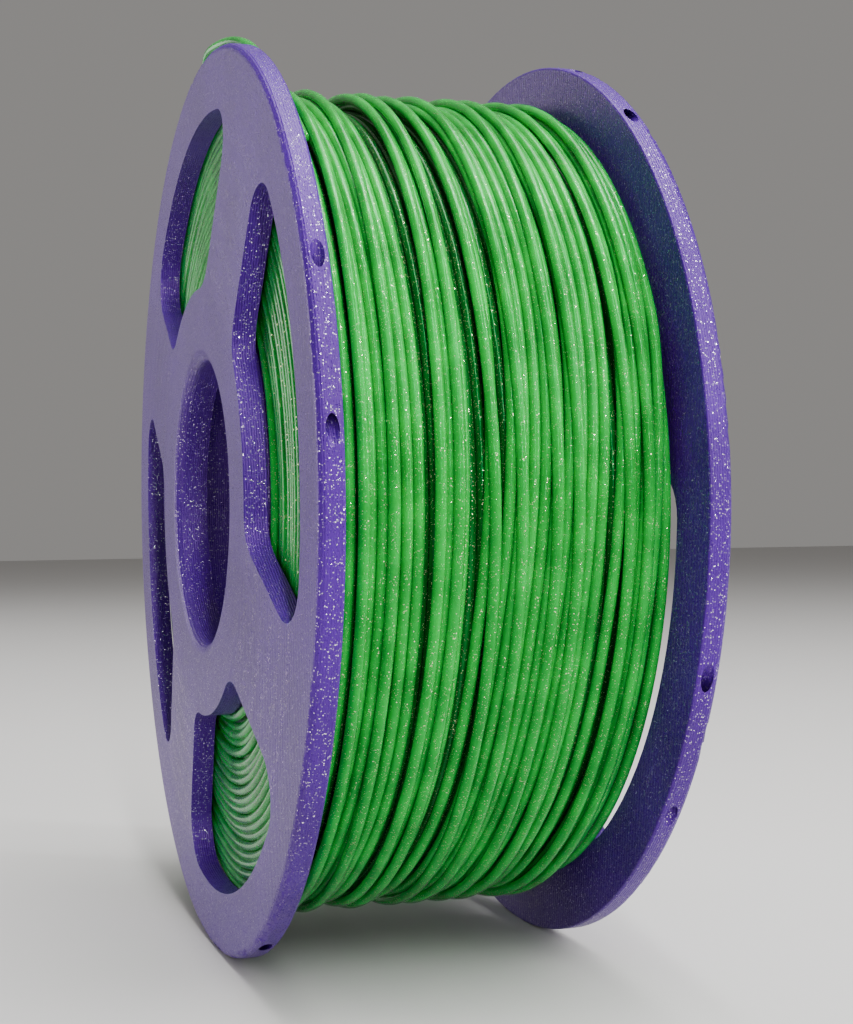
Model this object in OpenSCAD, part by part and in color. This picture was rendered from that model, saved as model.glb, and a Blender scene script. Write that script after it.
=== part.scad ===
// Printed filament spool: two identical windowed flanges on a hollow hub core,
// a coil of filament wound between them, and the coil's loose end tucked into
// a rim hole. Millimetres, +Z up, spool axis along X, origin at the centre of
// the bore halfway between the flanges.

/* [Flanges] */
// Outside diameter of both flanges
flange_d = 155; // [145:1:165]
// Overall width across both flanges
spool_w = 64; // [60:1:72]
// Thickness of one flange
flange_t = 3.8; // [3.6:0.1:4.4]
// How far a flange's hub stands out from its rim
dish = 1.5; // [1:0.1:2]
// Rounding of the outer edge of the rim
edge_r = 1.2; // [0.8:0.1:1.4]
// Small rounding of the rim's inner edge
inner_edge_r = 0.5; // [0.3:0.1:0.6]

/* [Bore] */
// Bore that runs on a holder's spindle
bore_d = 49; // [40:0.5:52]
// Rounding of the bore's outer lip
lip_r = 2; // [1:0.1:2.5]
// Depth of the bore's wall
bore_l = 6; // [5.5:0.5:8]

/* [Windows] */
// Number of windows in a flange
window_count = 4; // [3:1:5]
// Radius of the hub side of a window
window_ri = 37; // [37:0.5:42]
// Radius of the rim side of a window
window_ro = 67; // [62:0.5:68]
// Width of the spoke left between two windows
spoke_w = 24.5; // [18:0.5:30]
// Corner radius of a window
window_corner = 7; // [4:0.5:8]
// Turn of the left flange's first window above the front
left_turn = 15.5; // [0:0.5:90]
// Turn of the right flange's first window above the front
right_turn = -30; // [-90:1:90]

/* [Rim holes] */
// Diameter of a hole that grips the filament's end
hole_d = 2; // [1.9:0.1:2.2]
// Angle of each hole of a pair from its window's middle
hole_offset = 9.5; // [8:0.5:11]
// Lean of a hole from the rim's normal, toward the window's middle
hole_lean = 64; // [60:1:66]
// Height of the holes above the flange's inner face
hole_z = 1.7; // [1.6:0.1:1.8]

/* [Hub] */
// Outside diameter of the core tube
core_d = 72; // [70:1:73]
// Wall of the core tube
core_wall = 2.8; // [2:0.1:4]
// Length of the spigot that plugs into the core
spigot_l = 12; // [8:1:16]
// Wall of the spigot
spigot_wall = 2.6; // [2:0.1:3]
// Gap between printed parts that plug together
plug_gap = 0.3; // [0.2:0.05:0.4]

/* [Filament] */
// Diameter of the filament
filament_d = 1.75; // [1.75:0.05:1.75]
// Outside diameter of the wound coil
coil_d = 142; // [120:1:144]
// Gap between the coil and the left flange
coil_gap_left = 0.2; // [0.2:0.1:1]
// Gap between the coil and the right flange
coil_gap_right = 1.2; // [0.5:0.1:2]

/* [Hidden] */
flange_r = flange_d / 2;
bore_r = bore_d / 2;
inner_w = spool_w - 2 * (flange_t + dish);
core_r = core_d / 2;
core_ri = core_r - core_wall;
spigot_r = core_ri - plug_gap;
spigot_ri = spigot_r - spigot_wall;
hub_top = flange_t + dish;
window_pitch = 360 / window_count;
through = 1;          // how far a cut runs past the solid it cuts
round_fn = 96;        // facets of a full circle, where they are kept
arc_steps = 8;        // points along a window's corner
// the two holes of a pair meet in front of their window
hole_l = flange_r * sin(hole_offset) / sin(hole_lean - hole_offset)
    + hole_d / 2;
tail_sides = 8;
tail_rings = 72;
$fn = round_fn;

// Loose end of the filament. It lifts off the coil near the top, bows over the
// left flange's rim and ends in the rim hole there. Each row is
// [x, angle up from the front, height above the rim].
tail_x = -24.6;
tail_lift = 48;
tail_bow = [
    [-25.2, 57, -4.9], [-25.6, 65, -3.6], [-25.7, 72, -1.8],
    [-25.8, 79, 0.2], [-26.9, 86, 1.9]
];
tail_window = 1;      // the window whose first hole takes the end
tail_in = 7;          // how far the end reaches into that hole
tail_out = 5;         // straight run before the hole

// Points of an arc about a centre, both ends included
function arc(c, r, a0, a1, n) =
    [for (i = [0:n]) let (a = a0 + (a1 - a0) * i / n)
        c + r * [cos(a), sin(a)]];

// Direction of an angle in the face's plane
function dir(a) = [cos(a), sin(a)];

// Half of the angle that a corner's centre at radius r leaves to the window
function corner_angle(r) =
    window_pitch / 2 - asin((spoke_w / 2 + window_corner) / r);

// One window with its middle along +X: two arcs about the bore and ends
// parallel to the spokes, with rounded corners
function window_outline() =
    let (ao = corner_angle(window_ro - window_corner),
         ai = corner_angle(window_ri + window_corner),
         side = window_pitch / 2 + 90,
         co = (window_ro - window_corner) * dir(ao),
         ci = (window_ri + window_corner) * dir(ai),
         half = concat(
             arc(co, window_corner, ao, side, arc_steps),
             arc(ci, window_corner, side, 180 + ai, arc_steps)),
         other = [for (i = [len(half) - 1:-1:0]) [half[i][0], -half[i][1]]],
         rim = arc([0, 0], window_ro, -ao, ao, 2 * arc_steps),
         hub = arc([0, 0], window_ri, ai, -ai, 2 * arc_steps))
    concat([for (i = [1:len(rim) - 2]) rim[i]], half,
           [for (i = [1:len(hub) - 2]) hub[i]], other);

// Cross-section of the plate: radius across, height from the rim's inner face
// up. Between the windows' hub side and rim side both faces slope.
module plate_profile() {
    difference() {
        union() {
            polygon([[bore_r, dish], [window_ri, dish], [window_ro, 0],
                     [flange_r - edge_r, 0], [flange_r - edge_r, flange_t],
                     [window_ro, flange_t], [window_ri, hub_top],
                     [bore_r, hub_top]]);
            translate([window_ro, inner_edge_r])
                square([flange_r - window_ro,
                        flange_t - edge_r - inner_edge_r]);
            translate([window_ro, 0])
                square([flange_r - window_ro - inner_edge_r,
                        flange_t - edge_r]);
            translate([flange_r - edge_r, flange_t - edge_r])
                circle(r = edge_r);
            translate([flange_r - inner_edge_r, inner_edge_r])
                circle(r = inner_edge_r);
        }
        // the lip opens out in a quarter round
        difference() {
            translate([bore_r - through, hub_top - lip_r])
                square([lip_r + through, lip_r + through]);
            translate([bore_r + lip_r, hub_top - lip_r])
                circle(r = lip_r);
        }
    }
}

// The bore's wall and the spigot round it, with a bevelled lead-in
module spigot_profile() {
    lead = spigot_wall / 3;
    tip = dish - spigot_l;
    inside = dish + through;
    polygon([[bore_r, inside], [bore_r, hub_top - bore_l],
             [spigot_ri, hub_top - bore_l], [spigot_ri, tip],
             [spigot_r - lead, tip], [spigot_r, tip + lead],
             [spigot_r, inside]]);
}

module rim_hole(side) {
    mouth = hole_offset * side;
    rotate([0, 0, mouth])
        translate([flange_r, 0, hole_z])
            rotate([0, 0, side * hole_lean])
                rotate([0, -90, 0])
                    translate([0, 0, -2 * hole_d])
                        cylinder(h = hole_l + 2 * hole_d, d = hole_d);
}

// One flange with its outer face up and its windows counted from -Y
module flange() {
    difference() {
        rotate_extrude() {
            plate_profile();
            spigot_profile();
        }
        for (k = [0:window_count - 1])
            rotate([0, 0, k * window_pitch - 90]) {
                translate([0, 0, -through])
                    linear_extrude(height = hub_top + 2 * through)
                        polygon(window_outline());
                for (side = [-1, 1]) rim_hole(side);
            }
    }
}

module left_flange() {
    color([0.36, 0.20, 0.72])
        translate([-inner_w / 2, 0, 0])
            rotate([0, -90, 0])
                rotate([0, 0, left_turn])
                    flange();
}

module right_flange() {
    color([0.36, 0.20, 0.72])
        translate([inner_w / 2, 0, 0])
            rotate([0, 90, 0])
                rotate([0, 0, -right_turn])
                    flange();
}

// Straight tube between the flanges' hubs
module hub_core() {
    core_l = inner_w + 2 * dish - 2 * plug_gap;
    color([0.30, 0.16, 0.62])
        rotate([0, 90, 0])
            difference() {
                cylinder(h = core_l, r = core_r, center = true);
                cylinder(h = core_l + 2 * through, r = core_ri,
                         center = true);
            }
}

// The wound filament as one ring, with ends that follow the dished flanges
module filament_coil() {
    left = -inner_w / 2 + coil_gap_left;
    right = inner_w / 2 - coil_gap_right;
    coil_ri = core_r + 0.05;
    color([0.10, 0.75, 0.35])
        rotate([0, 90, 0])
            rotate_extrude()
                polygon([[coil_ri, left - dish], [window_ri, left - dish],
                         [window_ro, left], [coil_d / 2, left],
                         [coil_d / 2, right], [window_ro, right],
                         [window_ri, right + dish],
                         [coil_ri, right + dish]]);
}

// Smooth curve through the route's points
function spline(p0, p1, p2, p3, t) =
    0.5 * (2 * p1 + (p2 - p0) * t
        + (2 * p0 - 5 * p1 + 4 * p2 - p3) * t * t
        + (3 * p1 - p0 - 3 * p2 + p3) * t * t * t);
// Point at radius r, at angle a up from the front
function around(x, a, r) = [x, -r * cos(a), r * sin(a)];
tail_a = left_turn + tail_window * window_pitch - hole_offset;
tail_mouth = around(-inner_w / 2 - hole_z, tail_a, flange_r);
tail_dir = around(0, tail_a - hole_lean, -1);
tail_route = concat(
    [around(tail_x, tail_lift, (coil_d + filament_d) / 2 + 0.05)],
    [for (b = tail_bow) around(b[0], b[1], flange_r + b[2])],
    [tail_mouth - tail_out * tail_dir, tail_mouth,
     tail_mouth + tail_in * tail_dir]);
function route_at(u) =
    let (n = len(tail_route), i = min(floor(u), n - 2), t = u - i,
         a = tail_route[i], b = tail_route[i + 1],
         before = i == 0 ? 2 * a - b : tail_route[i - 1],
         after = i == n - 2 ? 2 * b - a : tail_route[i + 2])
    spline(before, a, b, after, t);
function unit(v) = v / norm(v);

module filament_tail() {
    span = len(tail_route) - 1;
    pts = [for (k = [0:tail_rings]) route_at(span * k / tail_rings)];
    ring = [for (k = [0:tail_rings])
        let (a = pts[max(k - 1, 0)], b = pts[min(k + 1, tail_rings)],
             along = unit(b - a),
             side = unit(cross(along, [1, 0, 0])),
             up = cross(side, along))
        for (s = [0:tail_sides - 1])
            pts[k] + filament_d / 2
                * (cos(360 * s / tail_sides) * side
                    + sin(360 * s / tail_sides) * up)];
    faces = concat(
        [[for (s = [0:tail_sides - 1]) s]],
        [for (k = [0:tail_rings - 1], s = [0:tail_sides - 1])
            let (n = (s + 1) % tail_sides, o = k * tail_sides)
            [o + s, o + tail_sides + s, o + tail_sides + n, o + n]],
        [[for (s = [tail_sides - 1:-1:0]) tail_rings * tail_sides + s]]);
    color([0.10, 0.75, 0.35])
        polyhedron(points = ring, faces = faces, convexity = 4);
}

left_flange();
right_flange();
hub_core();
filament_coil();
filament_tail();
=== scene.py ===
"""A printed filament spool: two purple windowed flanges on a hub tube, wound
with green filament. Metres, spool axis along X, +Z up, -Y toward the viewer."""

import math

import bmesh
import bpy
import numpy as np
from mathutils import Matrix, Vector


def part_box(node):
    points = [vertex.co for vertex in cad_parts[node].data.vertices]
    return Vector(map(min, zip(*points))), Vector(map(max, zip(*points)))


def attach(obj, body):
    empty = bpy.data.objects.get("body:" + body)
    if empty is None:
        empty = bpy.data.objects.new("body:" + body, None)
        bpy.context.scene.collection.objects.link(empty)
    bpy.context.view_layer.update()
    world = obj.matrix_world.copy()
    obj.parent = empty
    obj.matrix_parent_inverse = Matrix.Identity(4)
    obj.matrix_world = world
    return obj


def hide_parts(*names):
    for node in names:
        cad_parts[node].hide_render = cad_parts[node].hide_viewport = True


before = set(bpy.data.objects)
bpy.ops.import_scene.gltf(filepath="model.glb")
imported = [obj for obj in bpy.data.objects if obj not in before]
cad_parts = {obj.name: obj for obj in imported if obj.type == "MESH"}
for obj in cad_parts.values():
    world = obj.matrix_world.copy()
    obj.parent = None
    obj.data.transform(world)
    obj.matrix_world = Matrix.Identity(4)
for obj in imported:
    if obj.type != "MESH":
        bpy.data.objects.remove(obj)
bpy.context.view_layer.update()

# ---------------------------------------------------------------- camera
# Level with the spool's axis, turned a little toward the left flange, so that
# the flange's outer face is seen at a grazing angle.
FLANGE_LOW, FLANGE_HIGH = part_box("left_flange")
FLANGE_R = FLANGE_HIGH.z
OUTER_X = FLANGE_LOW.x

CAM_PLACE = Vector((-1.1183, -3.809, -0.06)) * FLANGE_R
CAM_YAW, CAM_PITCH, CAM_ROLL = 0.3153, 0.0081, -0.0128
CAM_LENS = 60.05
SENSOR = 36.0

camera_data = bpy.data.cameras.new("camera")
camera_data.lens = CAM_LENS
camera_data.sensor_width = SENSOR
camera_data.clip_start = 0.01
camera_data.clip_end = 20
camera = bpy.data.objects.new("camera", camera_data)
bpy.context.scene.collection.objects.link(camera)
camera.location = CAM_PLACE
forward = Vector((math.sin(CAM_YAW) * math.cos(CAM_PITCH),
                  math.cos(CAM_YAW) * math.cos(CAM_PITCH),
                  math.sin(CAM_PITCH)))
turn = forward.to_track_quat("-Z", "Y").to_matrix()
camera.rotation_euler = (turn @ Matrix.Rotation(CAM_ROLL, 3, "Z")).to_euler()
bpy.context.scene.camera = camera

# ---------------------------------------------------------------- materials
# Helpers that several pieces' materials are built with.
def srgb(r, g, b):
    """A colour picked on a 0 to 255 scale, as the shader wants it."""
    return tuple(((c / 255 + 0.055) / 1.055) ** 2.4 if c > 10
                 else c / 255 / 12.92 for c in (r, g, b)) + (1,)


def group(name, outputs, inputs=()):
    """A node group with the given (name, type) sockets."""
    tree = bpy.data.node_groups.new(name, "ShaderNodeTree")
    for n, kind, default in inputs:
        s = tree.interface.new_socket(n, in_out="INPUT", socket_type=kind)
        s.default_value = default
    for n, kind in outputs:
        tree.interface.new_socket(n, in_out="OUTPUT", socket_type=kind)
    return tree


class Net:
    """Short calls for building a node tree."""

    def __init__(self, tree):
        self.tree = tree

    def node(self, kind, **settings):
        n = self.tree.nodes.new(kind)
        for k, v in settings.items():
            setattr(n, k, v)
        return n

    def put(self, socket, value):
        if isinstance(value, bpy.types.NodeSocket):
            self.tree.links.new(value, socket)
        elif value is not None:
            socket.default_value = value

    def math(self, op, a, b=None, c=None, clamp=False):
        n = self.node("ShaderNodeMath", operation=op, use_clamp=clamp)
        for s, v in zip(n.inputs, (a, b, c)):
            self.put(s, v)
        return n.outputs[0]

    def vmath(self, op, a, b=None, scale=None):
        n = self.node("ShaderNodeVectorMath", operation=op)
        self.put(n.inputs[0], a)
        self.put(n.inputs[1], b)
        if scale is not None:
            self.put(n.inputs["Scale"], scale)
        return n.outputs["Value" if op in ("LENGTH", "DOT_PRODUCT")
                         else "Vector"]

    def ramp(self, value, low, high, to_low=0.0, to_high=1.0):
        n = self.node("ShaderNodeMapRange", clamp=True)
        for s, v in zip(n.inputs, (value, low, high, to_low, to_high)):
            self.put(s, v)
        return n.outputs[0]

    def noise(self, vector, scale, detail=2.0, rough=0.5):
        n = self.node("ShaderNodeTexNoise")
        self.put(n.inputs["Vector"], vector)
        self.put(n.inputs["Scale"], scale)
        self.put(n.inputs["Detail"], detail)
        self.put(n.inputs["Roughness"], rough)
        return n.outputs[0]

    def mix(self, factor, a, b):
        n = self.node("ShaderNodeMix", data_type="RGBA")
        self.put(n.inputs["Factor"], factor)
        self.put(n.inputs[6], a)
        self.put(n.inputs[7], b)
        return n.outputs[2]

    def object_coordinates(self):
        return self.node("ShaderNodeTexCoord").outputs["Object"]


def flake_group():
    """Glitter: small flat flakes set at random tilts. Share is how many of
    the cells hold a flake, Size the flake's width as a part of its cell."""
    tree = group("glitter_flakes",
                 [("Mask", "NodeSocketFloat"), ("Normal", "NodeSocketVector"),
                  ("Tint", "NodeSocketFloat")],
                 [("Scale", "NodeSocketFloat", 3000.0),
                  ("Share", "NodeSocketFloat", 0.3),
                  ("Size", "NodeSocketFloat", 0.35),
                  ("Tilt", "NodeSocketFloat", 0.6)])
    net = Net(tree)
    given = net.node("NodeGroupInput").outputs
    cells = net.node("ShaderNodeTexVoronoi", feature="F1")
    net.put(cells.inputs["Vector"], net.object_coordinates())
    net.put(cells.inputs["Scale"], given["Scale"])
    split = net.node("ShaderNodeSeparateColor")
    net.put(split.inputs[0], cells.outputs["Color"])
    near = net.math("LESS_THAN", cells.outputs["Distance"], given["Size"])
    chosen = net.math("LESS_THAN", split.outputs[0], given["Share"])
    mask = net.math("MULTIPLY", near, chosen)
    tilt = net.vmath("SUBTRACT", cells.outputs["Color"], (0.5, 0.5, 0.5))
    tilt = net.vmath("SCALE", tilt, scale=net.math(
        "MULTIPLY", mask, given["Tilt"]))
    plain = net.node("ShaderNodeNewGeometry").outputs["Normal"]
    normal = net.vmath("NORMALIZE", net.vmath("ADD", plain, tilt))
    out = net.node("NodeGroupOutput")
    net.put(out.inputs["Mask"], mask)
    net.put(out.inputs["Normal"], normal)
    net.put(out.inputs["Tint"], split.outputs[1])
    return tree


FLAKES = flake_group()


def print_line_group():
    """Height of a print's surface: layer lines across the walls, the drawn
    lines of the last layer on the faces, with a little unevenness."""
    tree = group("print_lines",
                 [("Height", "NodeSocketFloat"), ("Streak", "NodeSocketFloat")],
                 [("Layer", "NodeSocketFloat", 0.0004),
                  ("Line", "NodeSocketFloat", 0.0009)])
    net = Net(tree)
    given = net.node("NodeGroupInput").outputs
    place = net.object_coordinates()
    split = net.node("ShaderNodeSeparateXYZ")
    net.put(split.inputs[0], place)
    x, y, z = split.outputs
    wobble = net.math("MULTIPLY", net.noise(place, 900.0, 2.0), 0.00016)
    layer = net.math("DIVIDE", net.math("ADD", x, wobble), given["Layer"])
    layer = net.math("SINE", net.math("MULTIPLY", layer, 2 * math.pi))
    lean = math.radians(8)
    across = net.math("ADD", net.math("MULTIPLY", y, math.cos(lean)),
                      net.math("MULTIPLY", z, math.sin(lean)))
    line = net.math("DIVIDE", net.math("ADD", across, wobble), given["Line"])
    line = net.math("SINE", net.math("MULTIPLY", line, 2 * math.pi))
    facing = net.node("ShaderNodeSeparateXYZ")
    net.put(facing.inputs[0],
            net.node("ShaderNodeTexCoord").outputs["Normal"])
    face = net.ramp(net.math("ABSOLUTE", facing.outputs[0]), 0.9, 0.97)
    height = net.node("ShaderNodeMix", data_type="FLOAT")
    net.put(height.inputs[0], face)
    net.put(height.inputs[2], layer)
    net.put(height.inputs[3], line)
    grain = net.noise(net.vmath("MULTIPLY", place, (1.0, 1.0, 0.25)), 3800.0,
                      2.0, 0.6)
    total = net.math("ADD", net.math("MULTIPLY", height.outputs[0], 0.35),
                     grain)
    out = net.node("NodeGroupOutput")
    net.put(out.inputs["Height"], total)
    net.put(out.inputs["Streak"], net.noise(
        net.vmath("MULTIPLY", place, (1.0, 0.15, 0.15)), 260.0, 3.0, 0.6))
    return tree


PRINT_LINES = print_line_group()


def print_material(name, deep, light, line_height=0.00006):
    """Glitter-filled purple plastic, printed in fine layers."""
    mat = bpy.data.materials.new(name)
    mat.use_nodes = True
    net = Net(mat.node_tree)
    shader = mat.node_tree.nodes["Principled BSDF"]
    lines = net.node("ShaderNodeGroup")
    lines.node_tree = PRINT_LINES
    flakes = net.node("ShaderNodeGroup")
    flakes.node_tree = FLAKES
    flakes.inputs["Scale"].default_value = 4200.0
    flakes.inputs["Share"].default_value = 0.45
    flakes.inputs["Size"].default_value = 0.46
    flakes.inputs["Tilt"].default_value = 0.7
    place = net.object_coordinates()
    blotch = net.ramp(net.noise(place, 45.0, 3.0, 0.55), 0.35, 0.65)
    blotch = net.math("ADD", net.math("MULTIPLY", blotch, 0.6),
                      net.math("MULTIPLY", lines.outputs["Streak"], 0.4))
    colour = net.mix(blotch, deep, light)
    spark = net.math("POWER", flakes.outputs["Tint"], 5.0)
    colour = net.mix(net.math("MULTIPLY", flakes.outputs["Mask"], spark),
                     colour, (0.9, 0.82, 1.0, 1))
    net.put(shader.inputs["Base Color"], colour)
    net.put(shader.inputs["Metallic"],
            net.math("MULTIPLY", flakes.outputs["Mask"], spark))
    net.put(shader.inputs["Roughness"], net.ramp(
        flakes.outputs["Mask"], 0.0, 1.0, 0.42, 0.22))
    shader.inputs["IOR"].default_value = 1.5
    shader.inputs["Specular Tint"].default_value = (0.75, 0.45, 1.0, 1)
    shader.inputs["Subsurface Weight"].default_value = 0.08
    shader.inputs["Subsurface Radius"].default_value = (0.5, 0.25, 1.0)
    shader.inputs["Subsurface Scale"].default_value = 0.0012
    bump = net.node("ShaderNodeBump")
    bump.inputs["Strength"].default_value = 0.8
    bump.inputs["Distance"].default_value = line_height
    net.put(bump.inputs["Height"], lines.outputs["Height"])
    net.put(bump.inputs["Normal"], flakes.outputs["Normal"])
    net.put(shader.inputs["Normal"], bump.outputs[0])
    return mat


def dress(node, material):
    """Gives a CAD node its finish."""
    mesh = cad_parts[node].data
    mesh.materials.clear()
    mesh.materials.append(material)


# ---------------------------------------------------------------- filament
# One strand of glossy, see-through green plastic, 1.75 mm thick, full of fine
# glitter.
STRAND_D = 0.00175
STRAND_R = STRAND_D / 2


def filament_material(name, shade_by=1.0):
    mat = bpy.data.materials.new(name)
    mat.use_nodes = True
    net = Net(mat.node_tree)
    shader = mat.node_tree.nodes["Principled BSDF"]
    place = net.object_coordinates()
    flakes = net.node("ShaderNodeGroup")
    flakes.node_tree = FLAKES
    flakes.inputs["Scale"].default_value = 5200.0
    flakes.inputs["Share"].default_value = 0.42
    flakes.inputs["Size"].default_value = 0.45
    flakes.inputs["Tilt"].default_value = 0.42
    shade = net.ramp(net.noise(place, 130.0, 2.0), 0.3, 0.7)
    # shade_by darkens the whole green; below 1 it makes a darker copy of the
    # filament whose darkness is painted shade
    deep = [c * shade_by for c in srgb(0, 118, 34)[:3]] + [1]
    light = [c * shade_by for c in srgb(0, 156, 50)[:3]] + [1]
    colour = net.mix(shade, deep, light)
    spark = net.math("POWER", flakes.outputs["Tint"], 6.0)
    colour = net.mix(net.math("MULTIPLY", flakes.outputs["Mask"], spark),
                     colour, (0.9, 0.95, 0.5, 1))
    net.put(shader.inputs["Base Color"], colour)
    net.put(shader.inputs["Metallic"],
            net.math("MULTIPLY", flakes.outputs["Mask"], spark))
    net.put(shader.inputs["Roughness"], net.ramp(
        flakes.outputs["Mask"], 0.0, 1.0, 0.2, 0.14))
    shader.inputs["IOR"].default_value = 1.48
    shader.inputs["Specular Tint"].default_value = (0.0, 0.7, 0.15, 1)
    shader.inputs["Subsurface Weight"].default_value = 0.2
    shader.inputs["Subsurface Radius"].default_value = (0.15, 1.0, 0.3)
    shader.inputs["Subsurface Scale"].default_value = 0.0011
    shader.inputs["Coat Weight"].default_value = 0.08
    shader.inputs["Coat Roughness"].default_value = 0.04
    bump = net.node("ShaderNodeBump")
    bump.inputs["Strength"].default_value = 0.3
    bump.inputs["Distance"].default_value = 0.00003
    net.put(bump.inputs["Height"], net.noise(place, 2400.0, 2.0))
    net.put(bump.inputs["Normal"], flakes.outputs["Normal"])
    net.put(shader.inputs["Normal"], bump.outputs[0])
    return mat


GREEN = filament_material("green_filament")


def tube_mesh(bm, points, sides, radius, closed, cross):
    """Adds a tube along points (N x 3). cross is a vector that is never along
    the path; the ring is built square to the path."""
    n = len(points)
    if closed:
        along = np.roll(points, -1, 0) - np.roll(points, 1, 0)
    else:
        along = np.gradient(points, axis=0)
    along /= np.linalg.norm(along, axis=1)[:, None]
    side = np.cross(along, cross)
    side /= np.linalg.norm(side, axis=1)[:, None]
    up = np.cross(side, along)
    a = 2 * math.pi * np.arange(sides) / sides
    ring = (points[:, None]
            + radius * (np.cos(a)[None, :, None] * side[:, None]
                        + np.sin(a)[None, :, None] * up[:, None]))
    verts = [[bm.verts.new(p) for p in row] for row in ring]
    for k in range(n if closed else n - 1):
        row, after = verts[k], verts[(k + 1) % n]
        for s in range(sides):
            t = (s + 1) % sides
            bm.faces.new((row[s], row[t], after[t], after[s]))
    if not closed:
        bm.faces.new(verts[0][::-1])
        bm.faces.new(verts[-1])


def finish_mesh(bm, name, material, node, body):
    """Makes the piece, smooth shaded, standing for its CAD node."""
    mesh = bpy.data.meshes.new(name)
    bmesh.ops.recalc_face_normals(bm, faces=bm.faces)
    for f in bm.faces:
        f.smooth = True
    bm.to_mesh(mesh)
    bm.free()
    mesh.materials.append(material)
    piece = bpy.data.objects.new(name, mesh)
    bpy.context.scene.collection.objects.link(piece)
    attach(piece, body)
    if node:
        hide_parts(node)
    return piece


# The loose end: it lifts off the coil near the top, bows over the left
# flange's rim and goes into the rim hole there. Each row is x in millimetres,
# the angle up from the front, and the height above the rim in millimetres.
MM = 0.001
COIL_LOW, COIL_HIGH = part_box("filament_coil")
COIL_R = COIL_HIGH.z
INNER_LEFT = -0.0267
TAIL_START = (-24.6, 48.0)
TAIL_BOW = [(-25.2, 57, -4.9), (-25.6, 65, -3.6), (-25.7, 72, -1.8),
            (-25.8, 79, 0.2), (-26.9, 86, 1.9)]
HOLE_ANGLE, HOLE_LEAN, HOLE_DEPTH = 96.0, 64.0, 0.0017
TAIL_OUT, TAIL_IN = 0.005, 0.007


def around(x, angle, r):
    """A point at radius r, at an angle up from the front."""
    a = math.radians(angle)
    return Vector((x, -r * math.cos(a), r * math.sin(a)))


mouth = around(INNER_LEFT - HOLE_DEPTH, HOLE_ANGLE, FLANGE_R)
inward = around(0, HOLE_ANGLE - HOLE_LEAN, -1)
tail_route = ([around(TAIL_START[0] * MM, TAIL_START[1],
                      COIL_R + STRAND_R + 0.00005)]
              + [around(x * MM, a, FLANGE_R + h * MM)
                 for x, a, h in TAIL_BOW]
              + [mouth - TAIL_OUT * inward, mouth, mouth + TAIL_IN * inward])


def smooth_route(route, steps):
    """Catmull-Rom curve through the route's points."""
    pts = [2 * route[0] - route[1]] + list(route) + [2 * route[-1] - route[-2]]
    out = []
    for i in range(1, len(pts) - 2):
        a, b, c, d = pts[i - 1:i + 3]
        for k in range(steps):
            t = k / steps
            out.append(0.5 * (2 * b + (c - a) * t
                              + (2 * a - 5 * b + 4 * c - d) * t * t
                              + (3 * b - a - 3 * c + d) * t ** 3))
    out.append(route[-1])
    return out


tail_path = np.array([tuple(p) for p in smooth_route(tail_route, 10)])
bm = bmesh.new()
tube_mesh(bm, tail_path, 16, STRAND_R, False, np.array((1.0, 0, 0)))
tail = finish_mesh(bm, "filament_loose_end", GREEN,
                   "filament_tail", "spool")

# ---------------------------------------------------------------- winding
# The filament lies in layers on the hub. The last layers went on loosely: the
# turns drift, leave gaps that show the layer below, and a few ride over the
# others.
WIND_LEFT = COIL_LOW.x + 0.0015 + STRAND_R
WIND_RIGHT = COIL_HIGH.x - 0.0015 - STRAND_R
WIND_WIDTH = WIND_RIGHT - WIND_LEFT
TURN_STEP = STRAND_D * 1.01
SAMPLES = 180
# The lowest layer's turns lie in the shadow of the turns above them, so their
# green is darkened to 0.28 as painted shade
SHADED_GREEN = filament_material("green_filament_painted_shade", 0.28)


def strand_noise(rng, turns, knots):
    """A smooth random curve along the strand, about 1 high, with the given
    number of knots in a turn."""
    count = turns * SAMPLES
    raw = rng.normal(0, 1, int(turns * knots) + 5)
    t = np.arange(count) * knots / SAMPLES
    i = t.astype(int)
    f = t - i
    f = f * f * (3 - 2 * f)
    return raw[i] * (1 - f) + raw[i + 1] * f


def lay_turns(rng, turns, slack, sway):
    """x of each sample of a layer (turns x SAMPLES). The turns keep their
    order and never overlap; the spare width is dealt out as gaps that open
    and close along the strand. sway shifts neighbours together."""
    count = turns * SAMPLES
    tau = np.arange(count) / SAMPLES
    gap = (0.9 * strand_noise(rng, turns, 0.35)
           + 0.8 * strand_noise(rng, turns, 1.6)
           + 0.35 * strand_noise(rng, turns, 5.0))
    gap = np.maximum(gap - 0.15, 0) ** 1.3 + 0.02
    gap *= slack * turns / (gap.mean() * turns)
    gap = gap.reshape(turns, SAMPLES)
    x = np.zeros((turns, SAMPLES))
    turned = np.arange(SAMPLES) / SAMPLES
    x[0] = WIND_LEFT + (TURN_STEP + gap[0][0]) * turned
    for i in range(1, turns):
        x[i] = x[i - 1] + TURN_STEP + gap[i - 1]
    x = WIND_LEFT + (x - WIND_LEFT) * WIND_WIDTH / (x[-1][-1] - WIND_LEFT)
    x += sway * (np.sin(2 * math.pi * turned + 0.8)
                 + 0.6 * np.sin(4 * math.pi * turned + 2.0))[None] \
        * np.clip((x - WIND_LEFT) / 0.006, 0, 1) \
        * np.clip((WIND_RIGHT - x) / 0.006, 0, 1)
    left = turns - tau.reshape(turns, SAMPLES)
    return np.clip(x, WIND_LEFT, WIND_RIGHT - TURN_STEP * (left - 1).clip(0))


def rest_on(x, below, floor_r, ease):
    """Radius of each sample so that the strand rests on those below it."""
    r = np.full_like(x, floor_r)
    for ox, orad in below:
        gap = np.abs(x - ox[None, :])
        lift = np.sqrt(np.maximum(STRAND_D ** 2 - gap ** 2, 0))
        r = np.where(gap < STRAND_D, np.maximum(r, orad[None, :] + lift), r)
    flat = r.reshape(-1)
    wide = np.pad(flat, ease, mode="edge")
    high = np.max([wide[k:k + len(flat)] for k in range(2 * ease + 1)], 0)
    kernel = np.hanning(4 * ease + 3)
    kernel /= kernel.sum()
    soft = np.convolve(np.pad(high, 2 * ease + 1, mode="edge"), kernel,
                       "valid")
    return soft[:len(flat)].reshape(x.shape)


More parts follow.
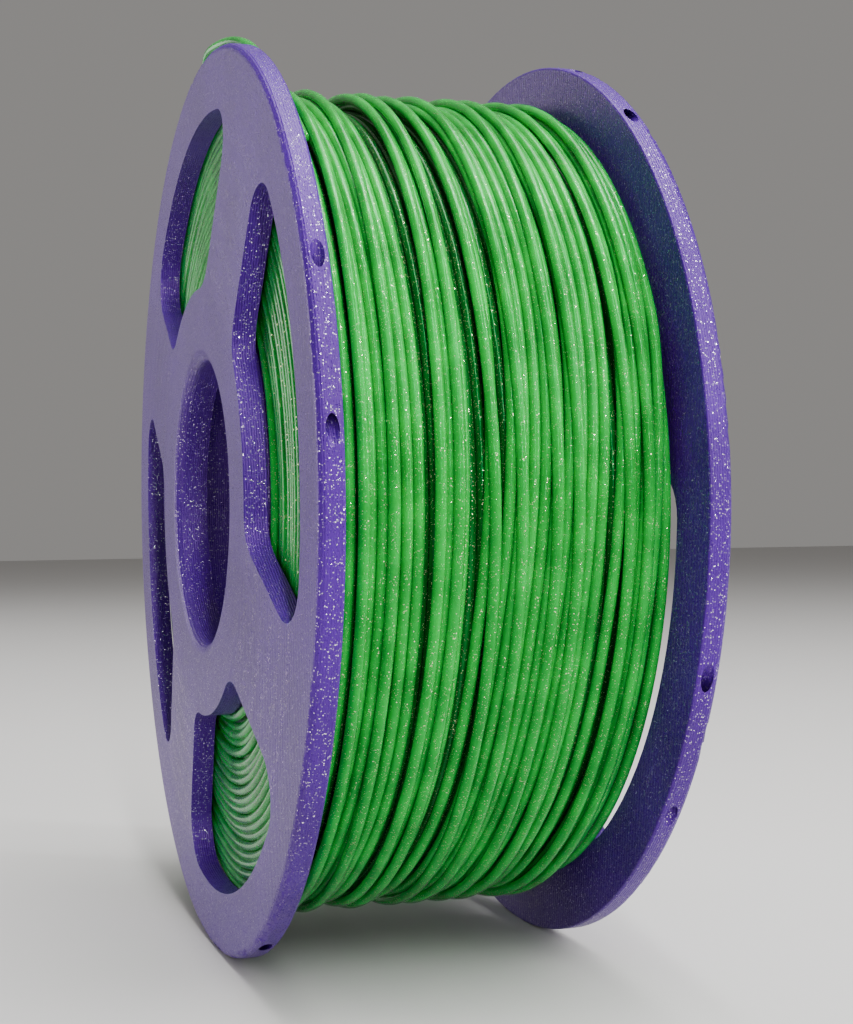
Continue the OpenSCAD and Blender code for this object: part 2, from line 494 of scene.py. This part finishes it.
def turn_points(x, r):
    """Points of the strand; each turn is counted from the back."""
    a = (np.arange(x.size) / SAMPLES + 0.5) * 2 * math.pi
    x, r = x.reshape(-1), r.reshape(-1)
    return np.stack([x, -r * np.cos(a), r * np.sin(a)], -1)


rng = np.random.default_rng(11)
low_turns = int(WIND_WIDTH / (TURN_STEP * 1.03))
low_x = lay_turns(rng, low_turns, WIND_WIDTH / low_turns - TURN_STEP, 0.0003)
low_r = (COIL_R - STRAND_R - 1.75 * STRAND_D
         + 0.00012 * strand_noise(rng, low_turns, 1.0)).reshape(low_x.shape)
low = list(zip(low_x, low_r))

high_turns = 22
high_x = lay_turns(rng, high_turns, WIND_WIDTH / high_turns - TURN_STEP,
                   0.0009)
high_r = rest_on(high_x, low, low_r.min(), 4)
both = low + list(zip(high_x, high_r))

# a few turns that ride over the rest, each crossing its neighbours slowly
over = []
for start_x, drift, lift_turn in ((-0.0236, 0.0046, 0.2), (-0.0132, 0.0034, 0.5),
                                  (-0.0045, 0.0042, 0.1), (0.0058, 0.0036, 0.35),
                                  (0.0155, 0.0032, 0.6)):
    t = np.arange(2 * SAMPLES) / SAMPLES
    x = start_x + drift * (t + 0.25 * np.sin(2 * math.pi * (t + lift_turn)))
    x = x + 0.0005 * strand_noise(rng, 2, 2.5)
    x = np.clip(x, WIND_LEFT, WIND_RIGHT).reshape(2, SAMPLES)
    r = np.minimum(rest_on(x, both, low_r.min(), 5), COIL_R - STRAND_R)
    # both ends go down between the turns at the back
    ends = np.minimum(np.arange(2 * SAMPLES), np.arange(2 * SAMPLES)[::-1])
    sink = np.clip(1 - ends / 16, 0, 1) ** 2 * 2.4 * STRAND_D
    r = r - sink.reshape(2, SAMPLES)
    over.append((x, r))

for name, layers, sides, material in (
        ("filament_layer_low", [(low_x, low_r)], 8, SHADED_GREEN),
        ("filament_layer_high", [(high_x, high_r)], 12, GREEN),
        ("filament_turns_over", over, 12, GREEN)):
    bm = bmesh.new()
    for x, r in layers:
        tube_mesh(bm, turn_points(x, r), sides, STRAND_R, False,
                  np.array((1.0, 0, 0)))
    finish_mesh(bm, name, material, "filament_coil",
                "spool")

# The sides of the coil, seen through the flanges' windows: the outermost turn
# of each layer, climbing from the hub out along the dished flange.
CORE_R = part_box("hub_core")[1].z
DISH, DISH_IN, DISH_OUT = 0.0015, 0.037, 0.067
side_r0 = CORE_R + STRAND_R + 0.0001
side_turns = int((COIL_R - STRAND_D - side_r0) / 0.00158)
bm = bmesh.new()
for edge, away in ((WIND_LEFT, 1), (WIND_RIGHT, -1)):
    tau = np.arange(side_turns * SAMPLES) / SAMPLES
    r = side_r0 + 0.00158 * tau + 0.0002 * strand_noise(rng, side_turns, 2.0)
    dish = DISH * np.clip((DISH_OUT - r) / (DISH_OUT - DISH_IN), 0, 1)
    inset = 0.0003 + 0.0004 * strand_noise(rng, side_turns, 0.6) \
        + 0.0002 * strand_noise(rng, side_turns, 3.0)
    most = np.where(r > 0.062, 0.0001, 0.0013)
    x = edge - away * dish + away * np.clip(inset, 0, most)
    tube_mesh(bm, turn_points(x, r), 8, STRAND_R, False,
              np.array((1.0, 0, 0)))
finish_mesh(bm, "filament_layer_ends", GREEN,
            "filament_coil", "spool")

# The layers underneath, which only show as darkness in the gaps: a closed body
# whose green is darkened to a fifth as painted shade.
BODY_R = low_r.min() - 0.4 * STRAND_R
bm = bmesh.new()
inner = CORE_R + 0.0001
half_left, half_right = WIND_LEFT - STRAND_R, WIND_RIGHT + STRAND_R
profile = [(half_left + 0.0016 - DISH, inner),
           (half_left + 0.0016 - DISH, DISH_IN), (half_left + 0.0016, DISH_OUT),
           (half_left + 0.0016, BODY_R), (half_right - 0.0016, BODY_R),
           (half_right - 0.0016, DISH_OUT),
           (half_right - 0.0016 + DISH, DISH_IN),
           (half_right - 0.0016 + DISH, inner)]
rows = []
for k in range(96):
    a = 2 * math.pi * k / 96
    rows.append([bm.verts.new((x, -r * math.cos(a), r * math.sin(a)))
                 for x, r in profile])
for k in range(96):
    row, after = rows[k], rows[(k + 1) % 96]
    for i in range(len(profile)):
        j = (i + 1) % len(profile)
        bm.faces.new((row[i], row[j], after[j], after[i]))
finish_mesh(bm, "filament_body", filament_material("green_filament_shade",
                                                   0.2),
            "filament_coil", "spool")

# ---------------------------------------------------------------- prints
PURPLE = print_material("purple_print", srgb(44, 0, 96), srgb(62, 8, 124))
dress("left_flange", PURPLE)
dress("right_flange", PURPLE)
dress("hub_core", print_material("purple_core", srgb(40, 2, 90),
                                 srgb(56, 8, 112)))

# ---------------------------------------------------------------- studio
# Pale floor under the rims and a plain pale surround. Soft lights in front, on
# the left and above, and two narrow ones that draw fine lines on the strands.
FLOOR_Z = -FLANGE_R
bm = bmesh.new()
bmesh.ops.create_grid(bm, x_segments=1, y_segments=1, size=4,
                      matrix=Matrix.Translation((0, 0, FLOOR_Z)))
mesh = bpy.data.meshes.new("floor")
bm.to_mesh(mesh)
bm.free()
floor = bpy.data.objects.new("floor", mesh)
bpy.context.scene.collection.objects.link(floor)
floor_mat = bpy.data.materials.new("floor")
floor_mat.use_nodes = True
floor_shader = floor_mat.node_tree.nodes["Principled BSDF"]
floor_shader.inputs["Base Color"].default_value = (0.55, 0.54, 0.53, 1)
floor_shader.inputs["Roughness"].default_value = 0.6
mesh.materials.append(floor_mat)

world = bpy.data.worlds.new("studio")
bpy.context.scene.world = world
world.use_nodes = True
world.node_tree.nodes["Background"].inputs[0].default_value = (
    0.62, 0.60, 0.58, 1)
world.node_tree.nodes["Background"].inputs[1].default_value = 0.42


def area_light(name, place, aim, width, height, power):
    data = bpy.data.lights.new(name, "AREA")
    data.shape = "RECTANGLE"
    data.size, data.size_y = width, height
    data.energy = power
    lamp = bpy.data.objects.new(name, data)
    bpy.context.scene.collection.objects.link(lamp)
    lamp.location = place
    lamp.rotation_euler = (Vector(aim) - Vector(place)).to_track_quat(
        "-Z", "Y").to_euler()
    return lamp


def strip_light(name, azimuth, power):
    """A narrow light that leans from the horizon in front to overhead, which
    draws a fine line along every strand. azimuth is from -Y toward +X."""
    a = math.radians(azimuth)
    out = Vector((math.sin(a), -math.cos(a), 0))
    foot, head = out * 1.05, Vector((0, 0, 1.15))
    middle, run = (foot + head) / 2, head - foot
    lamp = area_light(name, middle, (0, 0, 0), 0.03, run.length, power)
    z = -middle.normalized()
    y = run.normalized()
    x = y.cross(-z).normalized()
    lamp.rotation_euler = Matrix((x, y, -z)).transposed().to_euler()
    return lamp


area_light("key", (0.5, -1.1, 0.7), (0, 0, 0.0), 0.7, 0.6, 6)
area_light("top", (0.1, 0.1, 1.2), (0, 0, 0), 0.8, 0.8, 11)
area_light("left", (-1.0, 0.9, 0.25), (0, 0, 0), 0.9, 0.7, 8)
strip_light("strip_left", -8, 12)
strip_light("strip_right", 55, 12)
